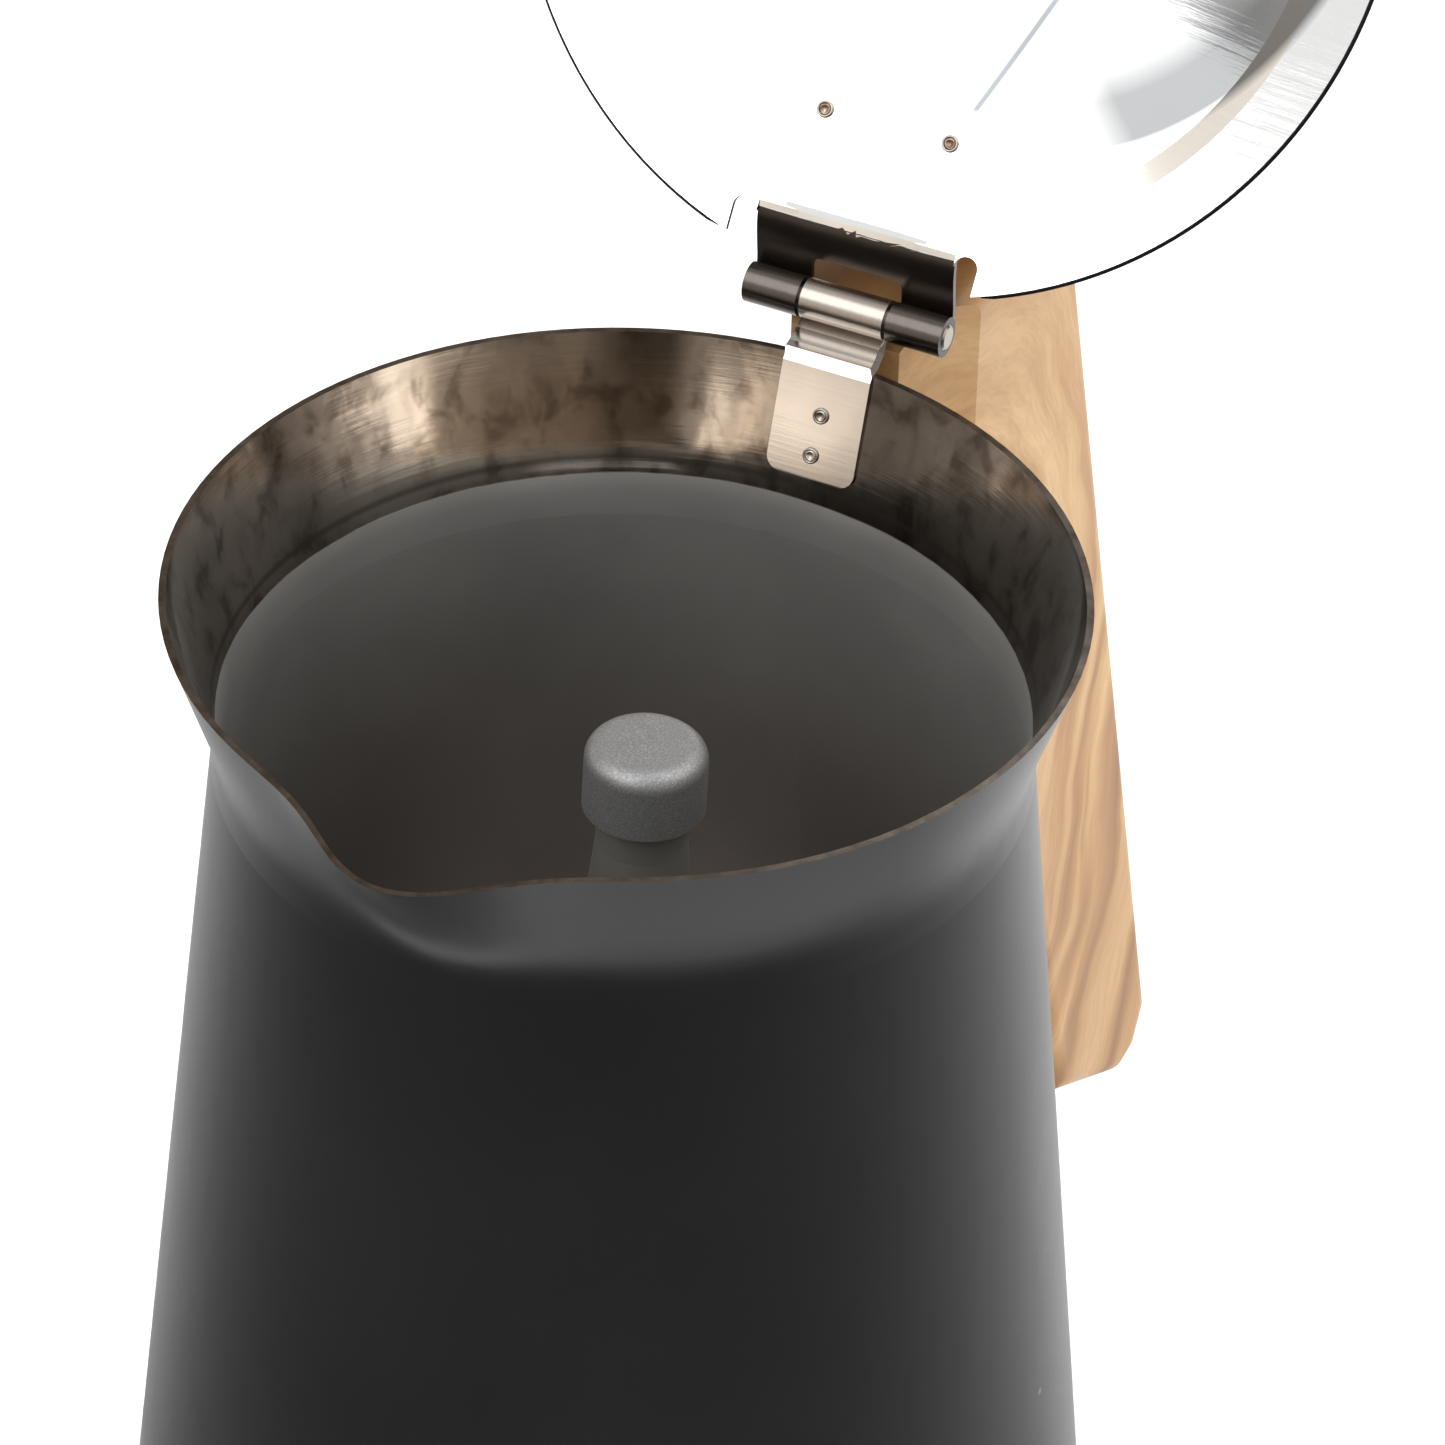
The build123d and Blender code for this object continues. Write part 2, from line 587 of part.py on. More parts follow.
def lid_knob_bracket():
    """Foot strap spot welded to the lid, with an upright tongue in its middle."""
    low = over_lid(WELD_X, WELD_Y)
    foot = Box(9.0, 19.0, FOOT_T, align=(Align.CENTER, Align.CENTER, Align.MIN))
    foot = fillet(foot.edges().filter_by(Axis.Z), 2.5)
    foot = Pos(WELD_X, 0, low + 0.05) * Rotation(0, lid_tilt(WELD_X), 0) * foot
    tongue = Box(TONGUE_T, 2 * TONGUE_HALF, 12.5, align=(Align.CENTER, Align.CENTER, Align.MIN))
    tongue = Pos(WELD_X, 0, low) * tongue
    cross = rod(1.25, (WELD_X - 3, 0, low + 8.5), (WELD_X + 3, 0, low + 8.5))
    return foot + tongue - cross - lid_disc()


def lid_knob():
    """Block with a domed top and a waist for the thumb, slotted for the tongue."""
    low = over_lid(WELD_X, WELD_Y)
    foot_z = low + FOOT_T + 1.2
    top_z = RIM_Z + KNOB_TALL
    outline = [
        (KNOB_X[0] + 1.5, foot_z),
        (KNOB_X[1] - 1.0, foot_z),
        (KNOB_X[1] - 1.4, foot_z + 5),
        (KNOB_X[1] + KNOB_LIP, top_z),
        (KNOB_X[0] - 1.5, top_z),
        (KNOB_X[0] + 0.9, foot_z + 6),
    ]
    block = slab(outline, -KNOB_HALF, KNOB_HALF)
    block = fillet(block.edges().filter_by(Axis.Y), 1.2)
    block = fillet(block.edges().group_by(Axis.Y)[0] + block.edges().group_by(Axis.Y)[-1], 1.0)
    slot = Box(TONGUE_T + 0.04, 2 * TONGUE_HALF + 0.04, 14, align=(Align.CENTER, Align.CENTER, Align.MIN))
    slot = Pos(WELD_X, 0, low - 1) * slot
    cross = rod(1.25, (WELD_X - 20, 0, low + 8.5), (WELD_X + 20, 0, low + 8.5))
    return block - slot - cross


def lid_knob_pin():
    low = over_lid(WELD_X, WELD_Y)
    return rod(1.25, (KNOB_X[0] + 1.2, 0, low + 8.5), (KNOB_X[1] - 1.6, 0, low + 8.5))


# ---------------------------------------------------------------- handle
ARM_LOW_Z = RIM_Z - 28.0
GRIP_LOW_Z = RIM_Z - 134.8


def grip_outer(z):
    """X of the grip's outer edge at height z."""
    return 87.7 + HANDLE_LEAN * (RIM_Z - 13.5 - z)


def handle_bracket():
    """Folded channel: two cheeks and a floor, its inner end cut to lie on the neck and the flare."""
    x_out = HANDLE_IN_X + 11.0
    low = BRACKET_LOW_Z
    top = BRACKET_TOP_Z
    block = slab([(36, low), (x_out, low), (x_out, top - 5), (x_out - 5, top), (36, top)], -BRACKET_HALF, BRACKET_HALF)
    hollow_half = BRACKET_HALF - BRACKET_SHEET
    floor_z = low + BRACKET_SHEET
    hollow = slab([(30, floor_z), (80, floor_z), (80, top + 1), (30, top + 1)], -hollow_half, hollow_half)
    return block - hollow - collector_filled(0) - rod(SCREW_R + 0.05, (SCREW_X, 0, low - 2), (SCREW_X, 0, low + 3))


def handle_nut():
    low = BRACKET_LOW_Z + BRACKET_SHEET
    nut = extrude(Plane(origin=(SCREW_X, 0, low)) * RegularPolygon(3.1, 6), 2.4)
    return nut - rod(SCREW_R, (SCREW_X, 0, low - 1), (SCREW_X, 0, low + 5))


def handle_grip():
    """Arm and grip in one moulding, recessed at its inner end for the bracket."""
    end_x = grip_outer(GRIP_LOW_Z)
    outline = [
        (HANDLE_IN_X, HANDLE_TOP_Z - 2.8),
        (HANDLE_IN_X + 2.8, HANDLE_TOP_Z),
        (grip_outer(HANDLE_TOP_Z), HANDLE_TOP_Z),
        (end_x, GRIP_LOW_Z),
        (end_x - 3.2, GRIP_LOW_Z - 5.6),
        (end_x - 8.0, GRIP_LOW_Z - 6.2),
        (end_x - 27.0, GRIP_LOW_Z + 4.6),
        (grip_outer(ARM_LOW_Z) - GRIP_WIDE, ARM_LOW_Z),
        (HANDLE_IN_X, ARM_LOW_Z),
    ]
    block = slab(outline, -HANDLE_HALF, HANDLE_HALF)
    upright = block.edges().filter_by(Axis.Y)

    def near(x, z):
        return sorted(upright, key=lambda e: math.hypot(e.center().X - x, e.center().Z - z))[0]

    block = fillet([near(grip_outer(ARM_LOW_Z) - GRIP_WIDE, ARM_LOW_Z)], 10)
    upright = block.edges().filter_by(Axis.Y)
    block = fillet([near(grip_outer(HANDLE_TOP_Z), HANDLE_TOP_Z)], 6)
    upright = block.edges().filter_by(Axis.Y)
    lower = [near(end_x, GRIP_LOW_Z), near(end_x - 3.2, GRIP_LOW_Z - 5.6), near(end_x - 8, GRIP_LOW_Z - 6.2)]
    block = fillet(lower + [near(end_x - 27, GRIP_LOW_Z + 4.6)], 1.6)
    sides = block.edges().group_by(Axis.Y)
    long_edges = [e for e in sides[0] + sides[-1] if e.center().X > HANDLE_IN_X + 0.5]
    block = fillet(long_edges, 2.6)
    for side in (1, -1):
        wedge = [(HANDLE_IN_X - 1, side * ARM_END_HALF), (HANDLE_IN_X, side * ARM_END_HALF)]
        wedge += [(HANDLE_IN_X + ARM_TAPER, side * (HANDLE_HALF + 0.01)), (HANDLE_IN_X - 1, side * 20)]
        face = make_face(Polyline(*wedge, close=True))
        block = block - extrude(Plane.XY.offset(ARM_LOW_Z - 2) * face, HANDLE_TOP_Z - ARM_LOW_Z + 4)
    low = BRACKET_LOW_Z - 0.2
    high = BRACKET_TOP_Z + 0.5
    deep = HANDLE_IN_X + 11.5
    recess = slab([(45, low), (deep, low), (deep, high), (45, high)], -RECESS_HALF, RECESS_HALF)
    shaft = rod(SCREW_R + 0.2, (SCREW_X, 0, ARM_LOW_Z - 5), (SCREW_X, 0, RIM_Z - 20))
    seat = rod(3.3, (SCREW_X, 0, ARM_LOW_Z - 5), (SCREW_X, 0, ARM_LOW_Z + 1.8))
    return block - recess - shaft - seat


def handle_screw():
    """Pan-head cross screw from below."""
    seat_z = ARM_LOW_Z + 1.8
    head = rod(3.0, (SCREW_X, 0, seat_z - 2.0), (SCREW_X, 0, seat_z))
    head = fillet(head.edges().group_by(Axis.Z)[0], 0.8)
    screw = head + rod(SCREW_R, (SCREW_X, 0, seat_z), (SCREW_X, 0, RIM_Z - 19.4))
    for angle in (0, 90):
        screw = screw - Pos(SCREW_X, 0, seat_z - 2.0) * Rotation(0, 0, angle) * Box(3.6, 0.8, 2.0)
    return screw


# ---------------------------------------------------------------- rest position
def opened(part):
    """The lid rests open, turned back about the hinge pin."""
    return part.rotate(Axis((HINGE_X, 0, HINGE_Z), (0, 1, 0)), LID_OPEN)


PARTS = {
    "boiler_base_plate": boiler_base_plate,
    "boiler_shell": boiler_shell,
    "boiler_neck_ring": boiler_neck_ring,
    "safety_valve_body": safety_valve_body,
    "safety_valve_seal": safety_valve_seal,
    "safety_valve_nut": safety_valve_nut,
    "safety_valve_plunger": safety_valve_plunger,
    "safety_valve_spring": safety_valve_spring,
    "funnel_basket": funnel_basket,
    "funnel_stem": funnel_stem,
    "funnel_filter_disc": funnel_filter_disc,
    "sealing_gasket": sealing_gasket,
    "upper_filter_plate": upper_filter_plate,
    "collector_shell": collector_shell,
    "collector_floor": collector_floor,
    "collector_collar": collector_collar,
    "chimney_column": chimney_column,
    "chimney_cap": chimney_cap,
    "hinge_bracket": hinge_bracket,
    "hinge_bracket_welds": hinge_bracket_welds,
    "hinge_pin": hinge_pin,
    "handle_bracket": handle_bracket,
    "handle_grip": handle_grip,
    "handle_nut": handle_nut,
    "handle_screw": handle_screw,
}

LID_PARTS = {
    "lid": lid,
    "lid_welds": lid_welds,
    "lid_knob_bracket": lid_knob_bracket,
    "lid_knob": lid_knob,
    "lid_knob_pin": lid_knob_pin,
}

os.makedirs("parts", exist_ok=True)
for name, make in PARTS.items():
    export_step(make(), f"parts/{name}.step")
for name, make in LID_PARTS.items():
    export_step(opened(make()), f"parts/{name}.step")
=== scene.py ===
import math

import bmesh
import bpy
from mathutils import Matrix, Vector

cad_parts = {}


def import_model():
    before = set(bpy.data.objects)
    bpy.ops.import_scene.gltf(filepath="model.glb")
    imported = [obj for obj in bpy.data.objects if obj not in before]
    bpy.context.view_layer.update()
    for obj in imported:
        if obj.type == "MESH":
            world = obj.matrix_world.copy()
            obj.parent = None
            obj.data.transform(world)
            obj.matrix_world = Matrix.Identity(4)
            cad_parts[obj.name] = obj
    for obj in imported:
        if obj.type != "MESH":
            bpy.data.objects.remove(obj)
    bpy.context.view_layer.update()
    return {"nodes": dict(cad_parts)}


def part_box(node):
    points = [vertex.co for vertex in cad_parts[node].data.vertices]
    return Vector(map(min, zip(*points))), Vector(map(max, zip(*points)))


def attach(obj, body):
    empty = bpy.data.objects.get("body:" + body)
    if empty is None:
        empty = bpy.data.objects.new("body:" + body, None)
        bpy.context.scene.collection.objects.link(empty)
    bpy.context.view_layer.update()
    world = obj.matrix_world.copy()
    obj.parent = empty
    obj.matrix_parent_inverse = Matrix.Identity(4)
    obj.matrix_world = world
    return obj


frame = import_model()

# Moka pot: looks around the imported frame. Metres, +Z up, spout towards -X, handle towards +X.
RIM_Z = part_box("collector_shell")[1][2]
RIM_R = 0.045
NECK_R = 0.03989
NECK_DROP = 0.0152                       # the flare's height, rim to neck
POLISH_LOW_Z = RIM_Z - 0.0142            # the polish inside the rim ends here
SPUN_LINE_Z = RIM_Z - 0.0126             # thin dark line above the polish's edge
CUP_DEEP_SHADE_Z = RIM_Z - 0.105               # the painted shade in the cup is darkest from here down

LID_TURN = math.radians(119.7)           # how far the lid stands open
HINGE = Vector((0.0493, 0, RIM_Z + 0.00327))
TAB_X = 0.0416                           # the lid's tab starts here, lid shut
TAB_HALF = 0.0112
STRAP_FOLD_X = 0.0470                    # the bracket's strap ends and its knuckle starts
WELD_R = 0.00062
WELD_SINK = 0.00014                      # weld marks start this far into their rings

CAMERA_AZIMUTH = math.radians(25.44)     # direction it looks, from +X towards +Y
CAMERA_DROP = math.radians(36.22)        # it looks down by this much at the rim's centre
CAMERA_FAR = 0.7696                      # from the rim's centre
CAMERA_YAW = -0.0123
CAMERA_PITCH = -0.0161
CAMERA_ROLL = -0.0212
FOCAL = 199.3
SENSOR_WIDE = 36.0


# ---------------------------------------------------------------- node helpers
class Nodes:
    """Short way to write a material's node tree."""

    def __init__(self, name):
        self.material = bpy.data.materials.new(name)
        self.material.use_nodes = True
        self.tree = self.material.node_tree
        self.tree.nodes.clear()
        self.shader = self.add("ShaderNodeBsdfPrincipled")
        self.output = self.add("ShaderNodeOutputMaterial")
        self.link(self.shader, "BSDF", self.output, "Surface")
        self.coords = self.add("ShaderNodeTexCoord")

    def add(self, kind, **values):
        node = self.tree.nodes.new(kind)
        for key, value in values.items():
            if hasattr(node, key):
                setattr(node, key, value)
            else:
                node.inputs[key].default_value = value
        return node

    def link(self, source, out, target, socket):
        self.tree.links.new(source.outputs[out], target.inputs[socket])

    def set(self, **values):
        for key, value in values.items():
            self.shader.inputs[key.replace("_", " ")].default_value = value

    def mapped(self, scale=(1, 1, 1), turn=(0, 0, 0), shift=(0, 0, 0)):
        mapping = self.add("ShaderNodeMapping")
        mapping.inputs["Scale"].default_value = scale
        mapping.inputs["Rotation"].default_value = turn
        mapping.inputs["Location"].default_value = shift
        self.link(self.coords, "Object", mapping, "Vector")
        return mapping

    def noise(self, source, scale, detail=3.0, roughness=0.5, distortion=0.0):
        node = self.add("ShaderNodeTexNoise")
        node.inputs["Scale"].default_value = scale
        node.inputs["Detail"].default_value = detail
        node.inputs["Roughness"].default_value = roughness
        node.inputs["Distortion"].default_value = distortion
        self.link(source, 0 if source.bl_idname != "ShaderNodeTexCoord" else "Object", node, "Vector")
        return node

    def ramp(self, source, out, stops, smooth=False):
        node = self.add("ShaderNodeValToRGB")
        if smooth:
            node.color_ramp.interpolation = "B_SPLINE"
        elements = node.color_ramp.elements
        while len(elements) < len(stops):
            elements.new(0.5)
        for element, (place, colour) in zip(elements, stops):
            element.position = place
            element.color = (*colour, 1.0) if len(colour) == 3 else colour
        self.link(source, out, node, "Fac")
        return node

    def span(self, source, out, low, high, to_low=0.0, to_high=1.0):
        node = self.add("ShaderNodeMapRange")
        node.inputs["From Min"].default_value = low
        node.inputs["From Max"].default_value = high
        node.inputs["To Min"].default_value = to_low
        node.inputs["To Max"].default_value = to_high
        self.link(source, out, node, "Value")
        return node

    def math(self, operation, a, b=None):
        node = self.add("ShaderNodeMath", operation=operation)
        for index, value in enumerate((a, b)):
            if value is None:
                continue
            if isinstance(value, tuple):
                self.tree.links.new(value[0].outputs[value[1]], node.inputs[index])
            else:
                node.inputs[index].default_value = value
        return node

    def product(self, a, b):
        return self.math("MULTIPLY", a, b)

    def length(self, a, b):
        """Length of the flat vector (a, b)."""
        squares = self.math("ADD", (self.product(a, a), 0), (self.product(b, b), 0))
        return self.math("SQRT", (squares, 0))

    def mix(self, factor, a, b, blend="MIX"):
        """Colour mix. factor, a and b are (node, output) or plain values."""
        node = self.add("ShaderNodeMix", data_type="RGBA", blend_type=blend)
        for socket, value in ((0, factor), (6, a), (7, b)):
            if isinstance(value, tuple) and hasattr(value[0], "outputs"):
                self.tree.links.new(value[0].outputs[value[1]], node.inputs[socket])
            elif isinstance(value, tuple):
                node.inputs[socket].default_value = (*value, 1.0)
            else:
                node.inputs[socket].default_value = value
        return node

    def bump(self, source, out, distance, strength=1.0):
        node = self.add("ShaderNodeBump")
        node.inputs["Strength"].default_value = strength
        node.inputs["Distance"].default_value = distance
        self.link(source, out, node, "Height")
        self.link(node, "Normal", self.shader, "Normal")
        return node


# ---------------------------------------------------------------- materials
def black_coating():
    """Matte black baked coating: very fine orange peel, a few pale dust specks."""
    n = Nodes("black_coating")
    grain = n.noise(n.mapped(), 2600, 2.0, 0.6)
    cloud = n.noise(n.mapped(), 22, 3.0, 0.55)
    tint = n.ramp(cloud, "Fac", [(0.3, (0.0078, 0.0076, 0.0084)), (0.7, (0.0100, 0.0098, 0.0106))])
    cells = n.add("ShaderNodeTexVoronoi")
    cells.inputs["Scale"].default_value = 42
    n.link(n.mapped(), 0, cells, "Vector")
    speck = n.span(cells, "Distance", 0.022, 0.014)
    colour = n.mix((speck, 0), (tint, 0), (0.16, 0.15, 0.14))
    n.link(colour, 2, n.shader, "Base Color")
    rough = n.span(cloud, "Fac", 0.3, 0.7, 0.33, 0.38)
    n.link(rough, 0, n.shader, "Roughness")
    n.set(IOR=1.58)
    n.bump(grain, "Fac", 0.000012, 0.5)
    return n.material


def polished(name, tint, low, high):
    """Spun and buffed steel: fine rings about the axis, faint haze. The caller links its colour."""
    n = Nodes(name)
    ring_lines = n.noise(n.mapped(scale=(1, 1, 26)), 60, 4.0, 0.6)
    haze = n.noise(n.mapped(), 38, 4.0, 0.6)
    colour = n.mix((haze, "Fac"), tint, tuple(c * 0.86 for c in tint))
    n.set(Metallic=1.0)
    rough = n.span(haze, "Fac", 0.3, 0.75, low, high)
    n.link(rough, 0, n.shader, "Roughness")
    n.bump(ring_lines, "Fac", 0.00003, 0.25)
    return n, colour


def polished_steel(name, tint, low, high):
    n, colour = polished(name, tint, low, high)
    n.link(colour, 2, n.shader, "Base Color")
    return n.material


CRESCENT_R = 0.0292                      # the painted dark reflection crescent's outer edge on the shut lid, towards the hinge
CRESCENT_GROWTH = 0.00917                # and how much further out it lies per radian round
SHADOW_LINE_SLOPE = 0.40                      # the painted shadow line runs this much in Y per unit of X
SHADOW_LINE_START = 0.0191

def lid_underside():
    """Polished steel with a painted dark reflection crescent and one fine painted shadow line, both laid out
    on the shut lid.
    """
    n, clean = polished("lid_polish", (0.84, 0.84, 0.83), 0.04, 0.09)
    shut = Matrix.Rotation(-LID_TURN, 3, "Y")
    place = n.add("ShaderNodeSeparateXYZ")
    n.link(n.mapped(turn=(0, -LID_TURN, 0), shift=HINGE - shut @ HINGE), 0, place, "Vector")
    reach = n.length((place, "X"), (place, "Y"))
    angle = n.math("ARCTAN2", (place, "Y"), (place, "X"))
    turned = n.math("ADD", (reach, 0), (n.product((angle, 0), CRESCENT_GROWTH), 0))
    inner = n.span(turned, 0, CRESCENT_R - 0.0177, CRESCENT_R - 0.0052)
    outer = n.span(turned, 0, CRESCENT_R + 0.0006, CRESCENT_R - 0.0006)
    fade = n.span(angle, 0, -0.42, -0.80)
    # Painted dark reflection: a crescent darkened into the mirror's colour.
    dark_reflection_band = n.product((n.product((inner, 0), (outer, 0)), 0), (fade, 0))
    with_dark_reflection = n.mix((n.product((dark_reflection_band, 0), 0.85), 0), (clean, 2), (0.085, 0.088, 0.092))
    # Painted shadow line: a fine dark line darkened into the mirror's colour.
    off_line = n.math("ADD", (place, "Y"), (n.product((place, "X"), -SHADOW_LINE_SLOPE), 0))
    aside = n.math("ABSOLUTE", (n.math("ADD", (off_line, 0), SHADOW_LINE_START), 0))
    near_end = n.span(place, "X", 0.004, 0.014)
    weld_end = n.span(place, "X", 0.0285, 0.0265)
    shadow_line = n.product((n.span(aside, 0, 0.0007, 0.0002), 0), (n.product((near_end, 0), (weld_end, 0)), 0))
    with_shadow_line = n.mix((n.product((shadow_line, 0), 0.8), 0), (with_dark_reflection, 2), (0.05, 0.06, 0.075))
    n.link(with_shadow_line, 2, n.shader, "Base Color")
    return n.material


# Painted reflections on the polished flare, bright and dark patches in its colour: share of a turn from -X
# round by -Y, and how bright it is there.
# They were tuned for the view from the camera's side, so from elsewhere they only stand for such reflections.
PAINTED_REFLECTIONS = (
    (0.24, (0.55, 0.54, 0.53)), (0.32, (0.38, 0.37, 0.36)), (0.376, (0.52, 0.50, 0.49)),
    (0.404, (0.44, 0.42, 0.41)), (0.432, (0.34, 0.33, 0.32)), (0.459, (0.17, 0.16, 0.16)),
    (0.487, (0.22, 0.21, 0.20)), (0.515, (0.46, 0.44, 0.42)), (0.543, (0.74, 0.71, 0.68)),
    (0.571, (0.25, 0.23, 0.22)), (0.592, (1.0, 0.96, 0.92)), (0.654, (1.0, 1.0, 1.0)),
    (0.685, (0.95, 0.95, 0.95)), (0.709, (0.32, 0.31, 0.30)), (0.737, (0.78, 0.76, 0.74)),
    (0.80, (0.74, 0.73, 0.72)),
)


def blasted_colour_and_depth_shade(n):
    """Colour of matte blasted steel in the cup, with painted shade that is darker and warmer with depth."""
    cloud = n.noise(n.mapped(), 30, 3.0, 0.6)
    place = n.add("ShaderNodeSeparateXYZ")
    n.link(n.coords, "Object", place, "Vector")
    # Painted shade: the colour grows darker and warmer deeper in the cup.
    depth = n.span(place, "Z", CUP_DEEP_SHADE_Z, POLISH_LOW_Z)
    stops = [(0.0, (0.085, 0.060, 0.050)), (0.5, (0.24, 0.21, 0.19)), (1.0, (0.47, 0.47, 0.455))]
    shade = n.ramp(depth, 0, stops)
    return place, n.mix((n.span(cloud, "Fac", 0.35, 0.7, 0.0, 0.35), 0), (shade, 0), (0.16, 0.15, 0.142))


def blasted_inside():
    """Blasted steel for the column, as in the cup, with the same painted shade lower down."""
    n = Nodes("blasted_inside")
    grain = n.noise(n.mapped(), 1500, 3.0, 0.65)
    _, colour = blasted_colour_and_depth_shade(n)
    n.link(colour, 2, n.shader, "Base Color")
    n.set(Metallic=0.7, Roughness=0.42)
    n.bump(grain, "Fac", 0.00003, 0.6)
    return n.material


def collector_inside():
    """Mirror polish down to the neck, with painted reflection patches and streaks in its colour and a spun
    line above its edge, and blasted steel with painted depth shade below.
    """
    n = Nodes("collector_inside")
    place, blasted = blasted_colour_and_depth_shade(n)
    haze = n.noise(n.mapped(), 55, 4.0, 0.6)
    tint = (0.94, 0.86, 0.77)
    polish = n.mix((haze, "Fac"), tint, tuple(c * 0.84 for c in tint))
    angle = n.math("ARCTAN2", (place, "Y"), (place, "X"))
    streaks = n.add("ShaderNodeCombineXYZ")
    n.link(angle, 0, streaks, "X")
    n.link(n.product((place, "Z"), 18.0), 0, streaks, "Y")
    # Painted reflections: bright and dark patches round the flare and soft streaks, multiplied into the
    # polish's colour.
    reflection_streak_noise = n.noise(streaks, 11, 3.0, 0.55, 0.4)
    reflection_patches = n.ramp(n.span(angle, 0, -math.pi, math.pi), 0, PAINTED_REFLECTIONS, smooth=True)
    stops = [(0.36, (0.44, 0.41, 0.39)), (0.46, (0.82, 0.81, 0.80)), (0.56, (1.0, 1.0, 1.0))]
    dark = n.ramp(reflection_streak_noise, "Fac", stops)
    polish = n.mix(1.0, (polish, 2), (reflection_patches, 0), "MULTIPLY")
    polish = n.mix(0.85, (polish, 2), (dark, 0), "MULTIPLY")
    line = n.math("ABSOLUTE", (n.math("SUBTRACT", (place, "Z"), SPUN_LINE_Z), 0))
    polish = n.mix((n.span(line, 0, 0.0005, 0.0001, 0.0, 0.6), 0), (polish, 2), (0.20, 0.18, 0.16))
    wander = n.noise(n.mapped(), 60, 2.0, 0.5)
    edge_z = n.math("MULTIPLY_ADD", (wander, "Fac"), 0.0006)
    edge_z.inputs[2].default_value = POLISH_LOW_Z - 0.0003
    over = n.math("SUBTRACT", (place, "Z"), (edge_z, 0))
    above = n.span(over, 0, -0.00012, 0.00012)
    n.link(n.mix((above, 0), (blasted, 2), (polish, 2)), 2, n.shader, "Base Color")
    n.link(n.span(above, 0, 0.0, 1.0, 0.7, 1.0), 0, n.shader, "Metallic")
    smooth = n.span(haze, "Fac", 0.3, 0.75, 0.06, 0.15)
    matte = n.product((n.math("SUBTRACT", 1.0, (above, 0)), 0), 0.33)
    n.link(n.math("ADD", (smooth, 0), (matte, 0)), 0, n.shader, "Roughness")
    grain = n.noise(n.mapped(), 1500, 3.0, 0.65)
    rings = n.noise(n.mapped(scale=(1, 1, 26)), 60, 4.0, 0.6)
    grain_part = n.product((grain, "Fac"), (n.math("SUBTRACT", 1.0, (above, 0)), 0))
    ring_part = n.product((rings, "Fac"), (n.product((above, 0), 0.45), 0))
    n.bump(n.math("ADD", (grain_part, 0), (ring_part, 0)), 0, 0.00003, 0.6)
    return n.material


def raw_edge():
    """Cut edge of the sheet at the rim, bare and slightly brown."""
    n = Nodes("raw_edge")
    grain = n.noise(n.mapped(), 420, 4.0, 0.6)
    colour = n.ramp(grain, "Fac", [(0.3, (0.10, 0.083, 0.070)), (0.7, (0.25, 0.215, 0.185))])
    n.link(colour, 0, n.shader, "Base Color")
    n.set(Metallic=1.0, Roughness=0.28)
    n.bump(grain, "Fac", 0.00002, 0.4)
    return n.material


def brushed_steel(name, tint, roughness, along=(1, 1, 40), scale=90):
    """Satin steel with fine lines."""
    n = Nodes(name)
    lines = n.noise(n.mapped(scale=along), scale, 5.0, 0.65)
    haze = n.noise(n.mapped(), 45, 3.0, 0.5)
    colour = n.mix((lines, "Fac"), tuple(c * 0.80 for c in tint), tint)
    n.link(colour, 2, n.shader, "Base Color")
    n.set(Metallic=1.0)
    rough = n.span(haze, "Fac", 0.3, 0.7, roughness - 0.05, roughness + 0.06)
    n.link(rough, 0, n.shader, "Roughness")
    n.bump(lines, "Fac", 0.00003, 0.35)
    return n.material


def cap_metal():
    """Bead blasted grey cap: a fine sparkling grain."""
    n = Nodes("cap_metal")
    fine = n.noise(n.mapped(), 5200, 2.0, 0.6)
    cloud = n.noise(n.mapped(), 420, 2.0, 0.5)
    stops = [(0.32, (0.205, 0.205, 0.205)), (0.52, (0.275, 0.275, 0.28)), (0.74, (0.40, 0.40, 0.40))]
    grey = n.ramp(fine, "Fac", stops)
    colour = n.mix((n.span(cloud, "Fac", 0.35, 0.65, 0.0, 0.25), 0), (grey, 0), (0.22, 0.22, 0.22))
    n.link(colour, 2, n.shader, "Base Color")
    n.set(Metallic=0.6)
    n.link(n.span(fine, "Fac", 0.3, 0.7, 0.52, 0.40), 0, n.shader, "Roughness")
    n.bump(fine, "Fac", 0.00003, 0.5)
    return n.material


